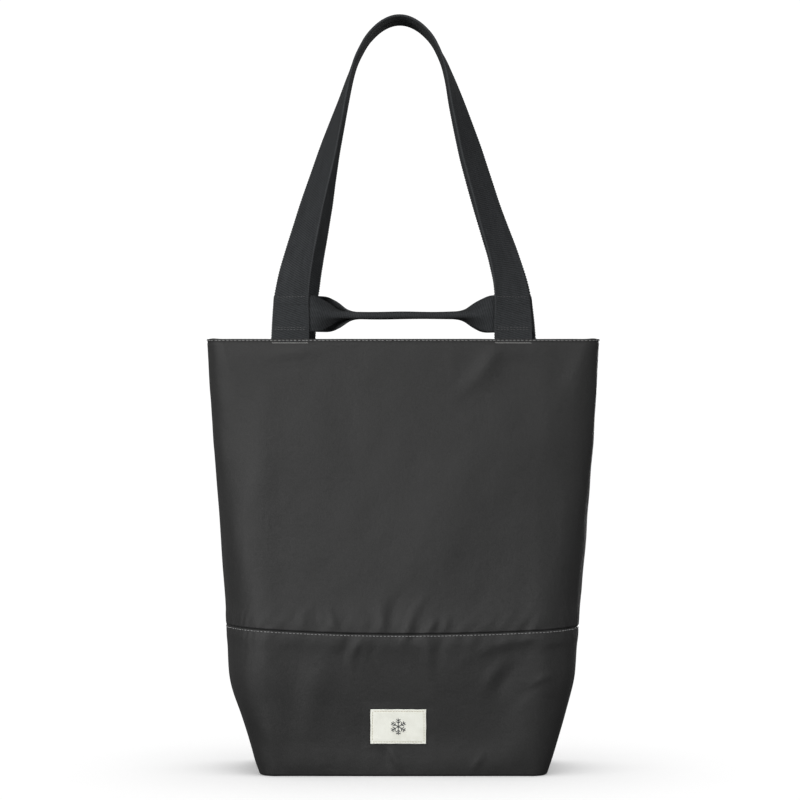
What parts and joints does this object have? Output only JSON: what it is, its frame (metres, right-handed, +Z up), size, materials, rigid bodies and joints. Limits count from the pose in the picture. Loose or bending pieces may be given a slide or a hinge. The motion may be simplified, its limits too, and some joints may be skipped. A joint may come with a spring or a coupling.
{
  "type": "insulated cooler bag",
  "caption": "Insulated tote bag with a foam-lined body that tapers to a narrow zipped mouth, and tall webbing shoulder straps that each carry a short grab handle.",
  "frame": {"origin": "centre of the base's underside", "axes": "+Z up along the bag's height, +X along its width, the label on the -Y face"},
  "size_m": [0.397, 0.14, 0.7561],
  "materials": {
    "shell_fabric": "satin",
    "webbing": "matte",
    "lining": "satin",
    "foam": "matte",
    "board": "matte",
    "zip_tape": "matte",
    "zip_coil": "satin",
    "zip_metal": "satin",
    "label": "matte"
  },
  "bodies": {
    "root": {"base_board": "board", "facing_front": "shell_fabric", "facing_rear": "shell_fabric", "foam_base": "foam", "foam_front": "foam", "foam_rear": "foam", "front_strap_tail_left": "webbing", "front_strap_tail_right": "webbing", "label_patch": "label", "lining_base": "lining", "lining_front": "lining", "lining_rear": "lining", "outer_base": "shell_fabric", "outer_front_lower": "shell_fabric", "outer_front_upper": "shell_fabric", "outer_rear_lower": "shell_fabric", "outer_rear_upper": "shell_fabric", "rear_strap_tail_left": "webbing", "rear_strap_tail_right": "webbing", "zip_end_left": "zip_tape", "zip_end_right": "zip_tape"},
    "front_handle": {"front_strap_foot_left": "webbing", "front_strap_foot_right": "webbing", "front_grab_handle": "webbing"},
    "front_loop": {"front_strap_loop": "webbing"},
    "rear_handle": {"rear_strap_foot_left": "webbing", "rear_strap_foot_right": "webbing", "rear_grab_handle": "webbing"},
    "rear_loop": {"rear_strap_loop": "webbing"},
    "zip_front_flap": {"zip_tape_front": "zip_tape", "zip_coil_front": "zip_coil"},
    "zip_rear_flap": {"zip_tape_rear": "zip_tape", "zip_coil_rear": "zip_coil"},
    "zip_slider": {"zip_slider": "zip_metal"},
    "zip_pull": {"zip_pull": "zip_metal"}
  },
  "joints": [
    {"name": "front_strap_hem_fold", "type": "hinge", "parent": "root", "child": "front_handle", "pos_m": [0, -0.0173, 0.4346], "axis": [1, 0, 0], "range_deg": [0, 85]},
    {"name": "front_strap_fold", "type": "hinge", "parent": "front_handle", "child": "front_loop", "pos_m": [0, -0.0173, 0.481], "axis": [1, 0, 0], "range_deg": [0, 85]},
    {"name": "rear_strap_hem_fold", "type": "hinge", "parent": "root", "child": "rear_handle", "pos_m": [0, 0.0173, 0.4346], "axis": [-1, 0, 0], "range_deg": [0, 85]},
    {"name": "rear_strap_fold", "type": "hinge", "parent": "rear_handle", "child": "rear_loop", "pos_m": [0, 0.0173, 0.481], "axis": [-1, 0, 0], "range_deg": [0, 85]},
    {"name": "front_flap_fold", "type": "hinge", "parent": "root", "child": "zip_front_flap", "pos_m": [0, -0.0155, 0.421], "axis": [1, 0, 0], "range_deg": [0, 80]},
    {"name": "rear_flap_fold", "type": "hinge", "parent": "root", "child": "zip_rear_flap", "pos_m": [0, 0.0155, 0.421], "axis": [-1, 0, 0], "range_deg": [0, 80]},
    {"name": "zip_travel", "type": "slide", "parent": "root", "child": "zip_slider", "axis": [1, 0, 0], "range_m": [0, 0.347]},
    {"name": "pull_swing", "type": "hinge", "parent": "zip_slider", "child": "zip_pull", "pos_m": [-0.181, 0, 0.4257], "axis": [0, -1, 0], "range_deg": [0, 95]}
  ]
}
